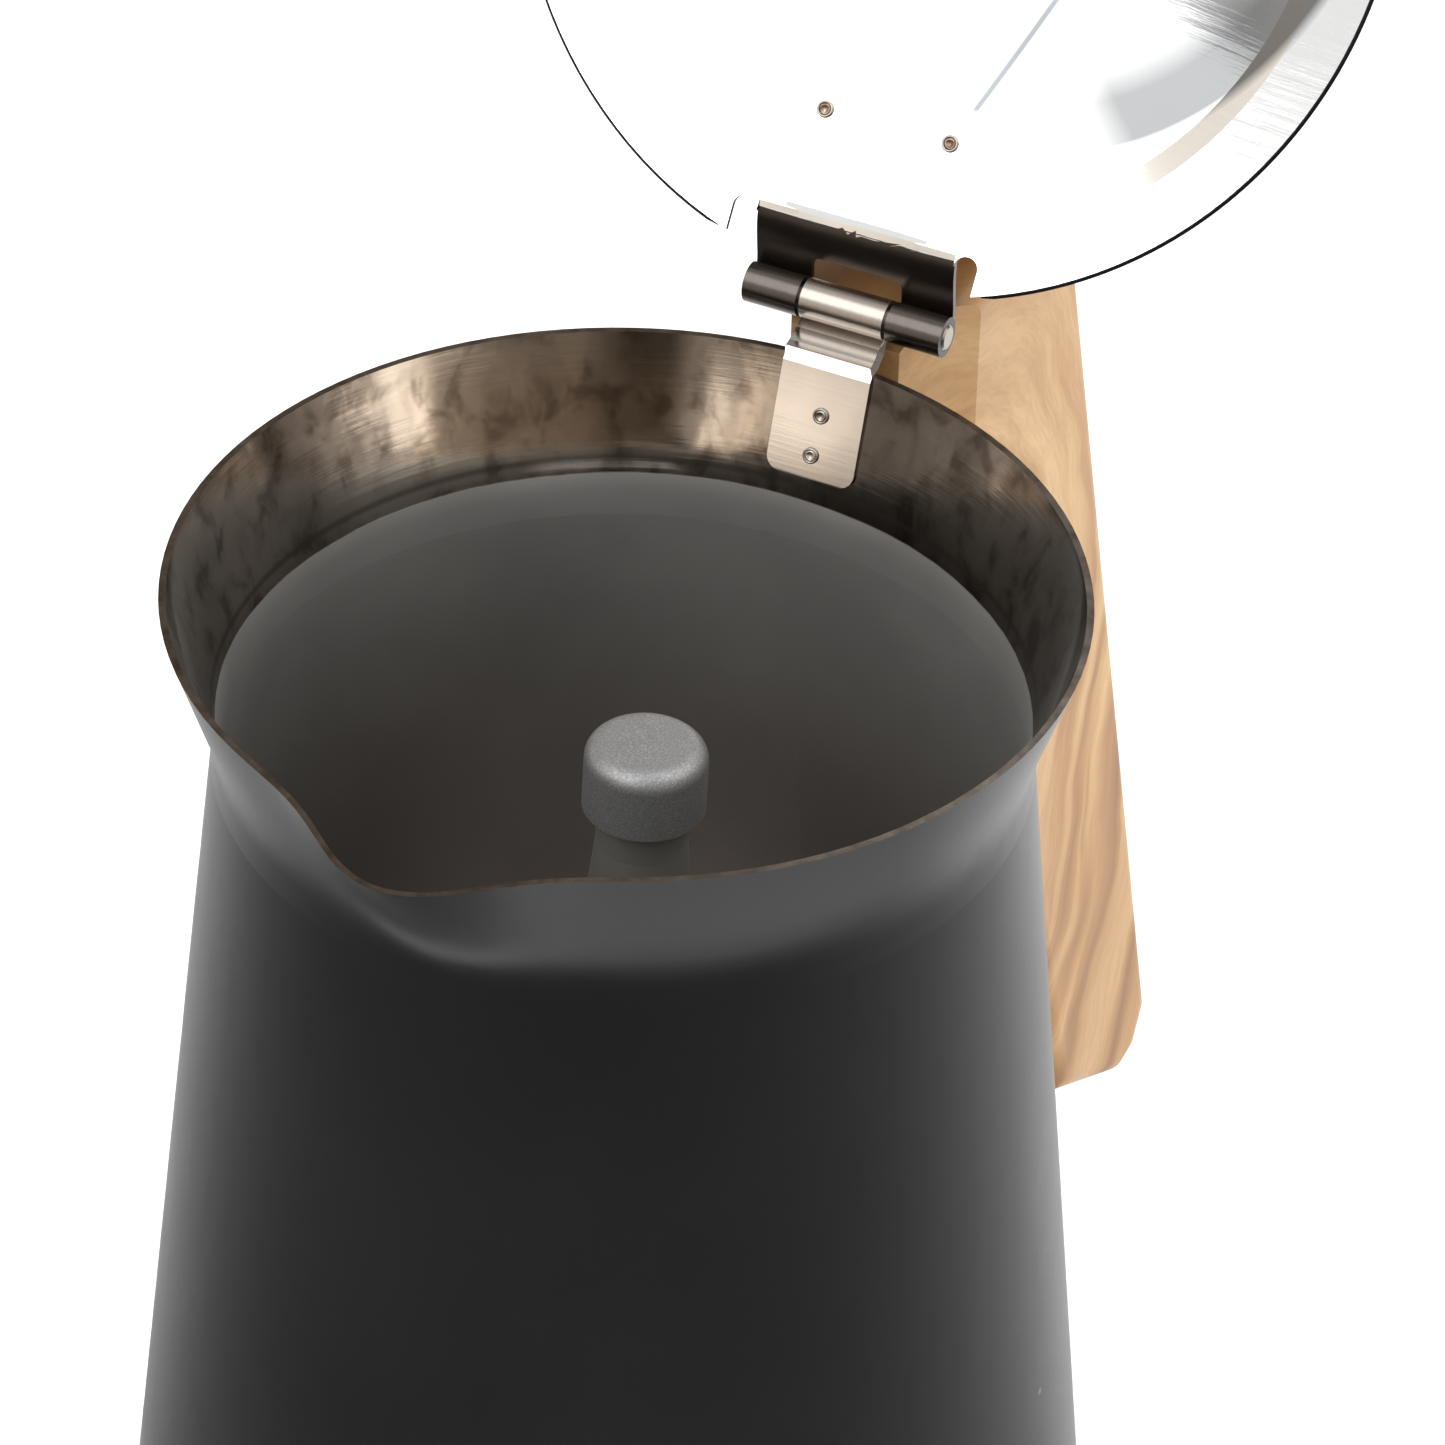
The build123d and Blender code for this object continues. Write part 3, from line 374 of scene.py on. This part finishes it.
def wood_figure(name, centre, squeeze):
    """Pale wood. The grain bends round centre (X and Z), so it turns from the arm into the grip.
    It has a painted shadow on top near the hinge, under the open lid, and painted shade on the low side that
    faces the pot."""
    n = Nodes(name)
    place = n.add("ShaderNodeSeparateXYZ")
    warp = n.noise(n.mapped(), 24, 3.0, 0.5)
    pull = n.add("ShaderNodeVectorMath", operation="MULTIPLY_ADD")
    n.link(warp, "Color", pull, 0)
    pull.inputs[1].default_value = (0.020, 0.010, 0.022)
    n.link(n.coords, "Object", pull, 2)
    n.link(pull, 0, place, "Vector")
    across = n.math("SUBTRACT", (place, "X"), centre[0] + 0.010)
    up = n.product((n.math("SUBTRACT", (place, "Z"), centre[1] + 0.011), 0), squeeze)
    far = n.length((across, 0), (up, 0))
    turn = n.math("ARCTAN2", (up, 0), (across, 0))
    lie = n.add("ShaderNodeCombineXYZ")
    n.link(far, 0, lie, "X")
    n.link(n.product((turn, 0), 0.0045), 0, lie, "Y")
    n.link(n.product((place, "Y"), 0.35), 0, lie, "Z")
    bands = n.noise(lie, 165, 2.5, 0.5, 0.4)
    broad = n.noise(lie, 90, 2.0, 0.5)
    fibres = n.noise(lie, 2400, 3.0, 0.65)
    stops = [(0.30, (0.170, 0.066, 0.018)), (0.43, (0.380, 0.178, 0.057)), (0.53, (0.540, 0.300, 0.110))]
    stops += [(0.66, (0.680, 0.430, 0.190))]
    colour = n.ramp(bands, "Fac", stops, smooth=True)
    warm = n.mix((n.span(broad, "Fac", 0.42, 0.62, 0.0, 0.55), 0), (colour, 0), (0.460, 0.240, 0.090))
    fine = n.mix((n.span(fibres, "Fac", 0.40, 0.64, 0.0, 0.26), 0), (warm, 2), (0.32, 0.150, 0.050))
    facing = n.add("ShaderNodeSeparateXYZ")
    n.link(n.coords, "Normal", facing, "Vector")
    # Painted shadow: top faces near the hinge are darkened in the colour.
    upper = n.product((n.span(facing, "Z", 0.5, 0.95), 0), (n.span(place, "X", 0.072, 0.058), 0))
    with_top_shadow = n.mix((n.product((upper, 0), 0.8), 0), (fine, 2), (0.045, 0.024, 0.014))
    # Painted shade: the low side that faces the pot is darkened in the colour.
    slope = n.math("ADD", (place, "X"), (n.product((place, "Z"), 0.206), 0))
    potward = n.span(slope, 0, 0.1035, 0.0860)
    pot_side_shade = n.product((potward, 0), (n.span(place, "Z", 0.160, 0.120), 0))
    with_pot_side_shade = n.mix((n.product((pot_side_shade, 0), 0.85), 0), (with_top_shadow, 2), (0.120, 0.045, 0.014))
    n.link(with_pot_side_shade, 2, n.shader, "Base Color")
    n.link(n.span(bands, "Fac", 0.3, 0.7, 0.52, 0.42), 0, n.shader, "Roughness")
    n.bump(fibres, "Fac", 0.00004, 0.35)
    return n.material


def brass():
    n = Nodes("turned_brass")
    lines = n.noise(n.mapped(scale=(1, 30, 1)), 160, 4.0, 0.6)
    colour = n.ramp(lines, "Fac", [(0.3, (0.50, 0.33, 0.12)), (0.7, (0.80, 0.58, 0.26))])
    n.link(colour, 0, n.shader, "Base Color")
    n.set(Metallic=1.0, Roughness=0.26)
    n.bump(lines, "Fac", 0.00003, 0.4)
    return n.material


def silicone():
    n = Nodes("silicone")
    grain = n.noise(n.mapped(), 900, 2.0, 0.5)
    colour = n.ramp(grain, "Fac", [(0.3, (0.72, 0.70, 0.66)), (0.7, (0.80, 0.78, 0.74))])
    n.link(colour, 0, n.shader, "Base Color")
    n.set(Roughness=0.55, Subsurface_Weight=0.15)
    n.bump(grain, "Fac", 0.00003, 0.4)
    return n.material


# ---------------------------------------------------------------- putting materials on CAD nodes
def finish_of(node, *materials):
    mesh = frame["nodes"][node].data
    mesh.materials.clear()
    for material in materials:
        mesh.materials.append(material)


def paint_faces(node, choose):
    """Give each face of a CAD node the material that choose(centre, normal) picks."""
    mesh = frame["nodes"][node].data
    for face in mesh.polygons:
        face.material_index = choose(face.center, face.normal)


def shell_side(centre, normal):
    """0 outside, 1 inside, 2 raw rim."""
    outward = Vector((centre.x, centre.y, 0)).normalized()
    if centre.z > RIM_Z - 0.0002:
        return 2
    return 0 if normal.dot(outward) > 0 else 1


black = black_coating()
blasted = blasted_inside()
edge = raw_edge()
satin = brushed_steel("satin_steel", (0.60, 0.59, 0.57), 0.30)
hinge_steel = brushed_steel("hinge_steel", (0.42, 0.375, 0.335), 0.26, along=(1, 12, 1), scale=220)
strap_steel = polished_steel("strap_steel", (0.62, 0.59, 0.56), 0.10, 0.24)

finish_of("collector_shell", black, collector_inside(), edge)
paint_faces("collector_shell", shell_side)


def lid_side(centre, normal):
    """0 polished underside, 1 black outside, 2 tab and knuckles. Judged with the lid turned shut."""
    shut = Matrix.Rotation(-LID_TURN, 3, "Y")
    place = shut @ (Vector(centre) - HINGE) + HINGE
    if place.x > TAB_X and abs(place.y) < TAB_HALF:
        return 2
    return 0 if (shut @ Vector(normal)).z < -0.5 else 1


lid_polish = lid_underside()
leaf_steel = brushed_steel("leaf_steel", (0.115, 0.100, 0.090), 0.24, along=(1, 12, 1), scale=220)
finish_of("lid", lid_polish, black, leaf_steel)
paint_faces("lid", lid_side)

finish_of("boiler_shell", black, satin)
paint_faces("boiler_shell", shell_side)
SATIN_NODES = (
    "boiler_base_plate", "boiler_neck_ring", "collector_collar", "collector_floor", "upper_filter_plate",
    "funnel_basket", "funnel_stem", "funnel_filter_disc", "safety_valve_plunger", "safety_valve_spring",
    "handle_nut", "handle_screw", "lid_knob_bracket", "lid_knob_pin",
)
for node in SATIN_NODES:
    finish_of(node, satin)
for node in ("hinge_pin", "hinge_bracket_welds", "lid_welds"):
    finish_of(node, hinge_steel)
finish_of("hinge_bracket", strap_steel, hinge_steel)
paint_faces("hinge_bracket", lambda centre, normal: int(centre.x > STRAP_FOLD_X))
finish_of("chimney_column", blasted)
finish_of("chimney_cap", cap_metal())
finish_of("handle_bracket", black)
finish_of("handle_grip", wood_figure("oak_handle", (0.055, RIM_Z - 0.062), 0.62))
finish_of("lid_knob", wood_figure("oak_knob", (0.060, RIM_Z - 0.020), 1.0))
brass_metal = brass()
finish_of("safety_valve_body", brass_metal)
finish_of("safety_valve_nut", brass_metal)
rubber = silicone()
finish_of("sealing_gasket", rubber)
finish_of("safety_valve_seal", rubber)


# ---------------------------------------------------------------- small pieces
def new_piece(name, bm, material, body):
    for face in bm.faces:
        face.smooth = True
    bmesh.ops.recalc_face_normals(bm, faces=bm.faces)
    mesh = bpy.data.meshes.new(name)
    bm.to_mesh(mesh)
    bm.free()
    piece = bpy.data.objects.new(name, mesh)
    bpy.context.scene.collection.objects.link(piece)
    mesh.materials.append(material)
    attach(piece, body)
    return piece


def opened(point):
    """Where a point of the shut lid lies when the lid stands open."""
    return Matrix.Rotation(LID_TURN, 3, "Y") @ (Vector(point) - HINGE) + HINGE


def lid_bead():
    """Coated bead along the lid's cut edge, from one side of the tab round to the other."""
    radius = 0.0466
    thick = 0.00026
    middle_z = RIM_Z + 0.00065
    start = math.atan2(0.0142, 0.0443)           # the tab's side, seen from the lid's middle
    round_to = 2 * math.pi - 2 * start - 0.012
    steps = 200
    sides = 10
    bm = bmesh.new()
    rows = []
    for step in range(steps + 1):
        angle = start + round_to * step / steps
        taper = 1.0 if 0 < step < steps else 0.3
        row = []
        for side in range(sides):
            turn = 2 * math.pi * side / sides
            r = radius + thick * taper * math.cos(turn)
            z = middle_z + thick * taper * math.sin(turn)
            row.append(bm.verts.new(opened((r * math.cos(angle), r * math.sin(angle), z))))
        rows.append(row)
    for first, second in zip(rows, rows[1:]):
        for side in range(sides):
            after = (side + 1) % sides
            bm.faces.new((first[side], first[after], second[after], second[side]))
    bm.faces.new(rows[0][::-1])
    bm.faces.new(rows[-1])
    new_piece("lid_edge_bead", bm, bead_black, "lid")


def weld_mark(bm, centre, normal, radius, tall):
    """Sunken spot with a soft lip, as a spot weld leaves."""
    turn = normal.to_track_quat("Z", "Y").to_matrix()
    profile = [(0.0, 0.15), (0.35, 0.2), (0.6, 0.75), (0.78, 1.0), (0.95, 0.6), (1.15, 0.1), (1.25, 0.0)]
    sides = 28
    rings = []
    for share, height in profile[1:]:
        ring = []
        for side in range(sides):
            angle = 2 * math.pi * side / sides
            wobble = 1 + 0.05 * math.sin(3 * angle + radius * 9000)
            flat = Vector((math.cos(angle), math.sin(angle), 0)) * radius * share * wobble
            ring.append(bm.verts.new(centre + turn @ (flat + Vector((0, 0, tall * height)))))
        rings.append(ring)
    middle = bm.verts.new(centre + turn @ Vector((0, 0, tall * profile[0][1])))
    for side in range(sides):
        after = (side + 1) % sides
        bm.faces.new((middle, rings[0][side], rings[0][after]))
        for inner, outer in zip(rings, rings[1:]):
            bm.faces.new((inner[side], outer[side], outer[after], inner[after]))
    bm.faces.new(rings[-1][::-1])


def heat_tint(name, inner, outer):
    """Steel browned by the weld."""
    n = Nodes(name)
    blot = n.noise(n.mapped(), 900, 3.0, 0.6)
    colour = n.ramp(blot, "Fac", [(0.38, inner), (0.60, outer)])
    n.link(colour, 0, n.shader, "Base Color")
    n.set(Metallic=0.9, Roughness=0.32)
    n.bump(blot, "Fac", 0.00003, 0.5)
    return n.material


bead_black = brushed_steel("bead_black", (0.022, 0.022, 0.024), 0.5, along=(1, 1, 1), scale=700)
lid_spots = heat_tint("lid_weld_tint", (0.16, 0.095, 0.05), (0.42, 0.33, 0.25))
strap_spots = heat_tint("strap_weld_tint", (0.13, 0.10, 0.07), (0.55, 0.50, 0.42))
lid_bead()


def mark_nodes(name, node, normal, tall, material, body):
    """One mark in the middle of each ring of a weld node."""
    mesh = frame["nodes"][node].data
    bm_rings = bmesh.new()
    bm_rings.from_mesh(mesh)
    bm_rings.verts.ensure_lookup_table()
    left = set(bm_rings.verts)
    centres = []
    while left:
        front = [left.pop()]
        island = list(front)
        while front:
            vert = front.pop()
            for edge_of in vert.link_edges:
                other = edge_of.other_vert(vert)
                if other in left:
                    left.remove(other)
                    front.append(other)
                    island.append(other)
        centres.append(sum((v.co for v in island), Vector()) / len(island))
    bm_rings.free()
    bm = bmesh.new()
    for centre in centres:
        weld_mark(bm, centre - normal * WELD_SINK, normal, WELD_R, tall)
    new_piece(name, bm, material, body)


UNDER_LID = Matrix.Rotation(LID_TURN, 3, "Y") @ Vector((0, 0, -1))
FLARE_LEAN = math.atan((RIM_R - NECK_R) / NECK_DROP)
INTO_CUP = Vector((-math.cos(FLARE_LEAN), 0, math.sin(FLARE_LEAN)))
mark_nodes("lid_weld_marks", "lid_welds", UNDER_LID, 0.00022, lid_spots, "lid")
mark_nodes("strap_weld_marks", "hinge_bracket_welds", INTO_CUP, 0.00030, strap_spots, "collector")


# ---------------------------------------------------------------- floor, light and camera
def floor():
    mesh = bpy.data.meshes.new("floor")
    bm = bmesh.new()
    bmesh.ops.create_grid(bm, x_segments=1, y_segments=1, size=4.0)
    bm.to_mesh(mesh)
    bm.free()
    plane = bpy.data.objects.new("floor", mesh)
    plane.location.z = -0.0002
    bpy.context.scene.collection.objects.link(plane)
    n = Nodes("floor_white")
    cloud = n.noise(n.mapped(), 3, 2.0, 0.5)
    colour = n.ramp(cloud, "Fac", [(0.3, (0.97, 0.97, 0.97)), (0.7, (0.99, 0.99, 0.99))])
    n.link(colour, 0, n.shader, "Base Color")
    n.set(Roughness=0.9)
    mesh.materials.append(n.material)


ROOM = (
    # what polished steel reflects: angle from the camera's side in degrees, colour.
    # An invented room, tuned until the flare's reflections looked right from the camera's side.
    (-180, (0.34, 0.29, 0.24)), (-165, (0.30, 0.25, 0.21)), (-150, (0.40, 0.34, 0.28)),
    (-138, (0.33, 0.28, 0.235)), (-126, (0.55, 0.48, 0.41)), (-113, (0.42, 0.36, 0.31)),
    (-100, (0.52, 0.46, 0.40)), (-88, (0.70, 0.63, 0.56)), (-78, (1.50, 1.40, 1.28)),
    (-62, (1.70, 1.62, 1.52)), (-48, (1.20, 1.08, 0.94)), (-36, (0.30, 0.26, 0.22)),
    (-15, (0.35, 0.30, 0.25)), (-10, (0.06, 0.05, 0.04)), (0, (0.08, 0.065, 0.05)),
    (12, (0.17, 0.14, 0.11)), (30, (0.12, 0.10, 0.08)), (46, (0.60, 0.54, 0.46)),
    (60, (1.50, 1.42, 1.30)), (98, (1.35, 1.25, 1.12)), (108, (0.50, 0.43, 0.36)),
    (120, (0.12, 0.10, 0.08)), (133, (0.20, 0.17, 0.14)), (141, (1.80, 1.70, 1.52)),
    (150, (1.70, 1.60, 1.45)), (157, (0.14, 0.115, 0.09)), (172, (0.05, 0.04, 0.03)),
    (180, (0.34, 0.29, 0.24)),
)
SKYLINE_FAR = math.radians(52)           # the room's top, behind the pot
SKYLINE_NEAR = math.radians(9)           # and on the camera's side
STUDIO_WHITE = 1.06


def world():
    """White studio. Polished metal sees a brown room with bright windows near the horizon."""
    sky = bpy.data.worlds.new("studio")
    sky.use_nodes = True
    tree = sky.node_tree
    tree.nodes.clear()

    def add(kind, **values):
        node = tree.nodes.new(kind)
        for key, value in values.items():
            setattr(node, key, value)
        return node

    def combine(operation, *sources):
        node = add("ShaderNodeMath", operation=operation)
        for index, source in enumerate(sources):
            if isinstance(source, float):
                node.inputs[index].default_value = source
            else:
                tree.links.new(source, node.inputs[index])
        return node.outputs[0]

    way = add("ShaderNodeSeparateXYZ")
    tree.links.new(add("ShaderNodeTexCoord").outputs["Generated"], way.inputs[0])
    x, y, z = way.outputs
    toward = (-math.cos(CAMERA_AZIMUTH), -math.sin(CAMERA_AZIMUTH))
    ahead = combine("ADD", combine("MULTIPLY", x, toward[0]), combine("MULTIPLY", y, toward[1]))
    aside = combine("ADD", combine("MULTIPLY", y, toward[0]), combine("MULTIPLY", x, -toward[1]))
    angle = combine("ARCTAN2", aside, ahead)
    share = combine("MULTIPLY_ADD", angle, 0.5 / math.pi, 0.5)
    room = add("ShaderNodeValToRGB")
    stops = room.color_ramp.elements
    while len(stops) < len(ROOM):
        stops.new(0.5)
    for stop, (degrees, colour) in zip(stops, ROOM):
        stop.position = degrees / 360 + 0.5
        stop.color = (*colour, 1)
    tree.links.new(share, room.inputs[0])
    skyline = add("ShaderNodeMapRange")
    skyline.inputs["From Min"].default_value = -0.1
    skyline.inputs["From Max"].default_value = 0.5
    skyline.inputs["To Min"].default_value = math.sin(SKYLINE_FAR)
    skyline.inputs["To Max"].default_value = math.sin(SKYLINE_NEAR)
    tree.links.new(ahead, skyline.inputs["Value"])
    above = combine("SUBTRACT", z, skyline.outputs[0])
    rise = add("ShaderNodeMapRange", interpolation_type="SMOOTHSTEP")
    rise.inputs["From Max"].default_value = 0.12
    tree.links.new(above, rise.inputs["Value"])
    seen = add("ShaderNodeMix", data_type="RGBA")
    tree.links.new(rise.outputs[0], seen.inputs[0])
    tree.links.new(room.outputs[0], seen.inputs[6])
    seen.inputs[7].default_value = (1, 1, 1, 1)
    final = add("ShaderNodeMix", data_type="RGBA")
    tree.links.new(add("ShaderNodeLightPath").outputs["Is Glossy Ray"], final.inputs[0])
    final.inputs[6].default_value = (STUDIO_WHITE, STUDIO_WHITE, STUDIO_WHITE, 1)
    tree.links.new(seen.outputs[2], final.inputs[7])
    light = add("ShaderNodeBackground")
    tree.links.new(final.outputs[2], light.inputs["Color"])
    tree.links.new(light.outputs[0], add("ShaderNodeOutputWorld").inputs[0])
    bpy.context.scene.world = sky


CARD_SHADES = (
    # angle from the camera's side in degrees, albedo. Tuned for the body's shading from that side.
    (-160, 0.93), (-128, 0.55), (-108, 0.26), (-84, 0.11), (-60, 0.05), (-35, 0.03), (-12, 0.012),
    (14, 0.014), (32, 0.045), (52, 0.09), (74, 0.22), (98, 0.48), (128, 0.93),
)


def graded_card(near, far):
    """Card lying round the pot, black on the camera's side and paler either way, seen only in reflections."""
    start = math.pi + CAMERA_AZIMUTH + math.radians(CARD_SHADES[0][0])
    sweep = math.radians(CARD_SHADES[-1][0] - CARD_SHADES[0][0])
    steps = 48
    bm = bmesh.new()
    rows = []
    for radius in (near, far):
        row = []
        for step in range(steps + 1):
            angle = start + sweep * step / steps
            row.append(bm.verts.new((radius * math.cos(angle), radius * math.sin(angle), 0.0001)))
        rows.append(row)
    for step in range(steps):
        bm.faces.new((rows[0][step], rows[1][step], rows[1][step + 1], rows[0][step + 1]))
    mesh = bpy.data.meshes.new("black_card")
    bm.to_mesh(mesh)
    bm.free()
    card = bpy.data.objects.new("black_card", mesh)
    bpy.context.scene.collection.objects.link(card)
    n = Nodes("black_felt")
    fluff = n.noise(n.mapped(), 300, 3.0, 0.6)
    lie = n.add("ShaderNodeSeparateXYZ")
    n.link(n.mapped(turn=(0, 0, -math.pi - CAMERA_AZIMUTH)), 0, lie, "Vector")
    angle = n.math("ARCTAN2", (lie, "Y"), (lie, "X"))
    share = n.span(angle, 0, -math.pi, math.pi)
    shades = [(0.5 + degrees / 360, (albedo,) * 3) for degrees, albedo in CARD_SHADES]
    shade = n.ramp(share, 0, shades)
    colour = n.mix((n.span(fluff, "Fac", 0.3, 0.7, 0.0, 0.1), 0), (shade, 0), (0.01, 0.01, 0.01))
    n.link(colour, 2, n.shader, "Base Color")
    n.set(Roughness=1.0, Specular_IOR_Level=0.0)
    mesh.materials.append(n.material)
    for kind in ("camera", "diffuse", "transmission", "volume_scatter", "shadow"):
        setattr(card, f"visible_{kind}", False)


def softbox(name, place, aim, size, power):
    data = bpy.data.lights.new(name, "AREA")
    data.shape = "RECTANGLE"
    data.size, data.size_y = size
    data.energy = power
    lamp = bpy.data.objects.new(name, data)
    lamp.location = place
    lamp.rotation_euler = (Vector(aim) - Vector(place)).to_track_quat("-Z", "Y").to_euler()
    bpy.context.scene.collection.objects.link(lamp)


def camera():
    rim = Vector((0, 0, RIM_Z))
    flat = Vector((math.cos(CAMERA_AZIMUTH), math.sin(CAMERA_AZIMUTH), 0))
    place = rim + CAMERA_FAR * (-math.cos(CAMERA_DROP) * flat + Vector((0, 0, math.sin(CAMERA_DROP))))
    forward = (rim - place).normalized()
    right = Vector((math.sin(CAMERA_AZIMUTH), -math.cos(CAMERA_AZIMUTH), 0))
    up = right.cross(forward)
    turn = Matrix.Rotation(CAMERA_YAW, 3, up)
    forward, right = turn @ forward, turn @ right
    turn = Matrix.Rotation(CAMERA_PITCH, 3, right)
    forward, up = turn @ forward, turn @ up
    turn = Matrix.Rotation(CAMERA_ROLL, 3, forward)
    right, up = turn @ right, turn @ up
    data = bpy.data.cameras.new("camera")
    data.lens = FOCAL
    data.sensor_width = SENSOR_WIDE
    data.clip_start = 0.01
    eye = bpy.data.objects.new("camera", data)
    facing = Matrix((right, up, -forward)).transposed()
    eye.matrix_world = Matrix.Translation(place) @ facing.to_4x4()
    bpy.context.scene.collection.objects.link(eye)
    bpy.context.scene.camera = eye


floor()
world()
graded_card(near=0.118, far=2.6)
softbox("key", (-0.9, 0.5, 1.5), (0, 0, 0.15), (1.4, 1.4), 14)
softbox("fill", (0.6, -0.9, 1.7), (0.2, -0.1, 0.1), (1.6, 1.6), 12)
camera()
bpy.context.scene.view_settings.view_transform = "Standard"
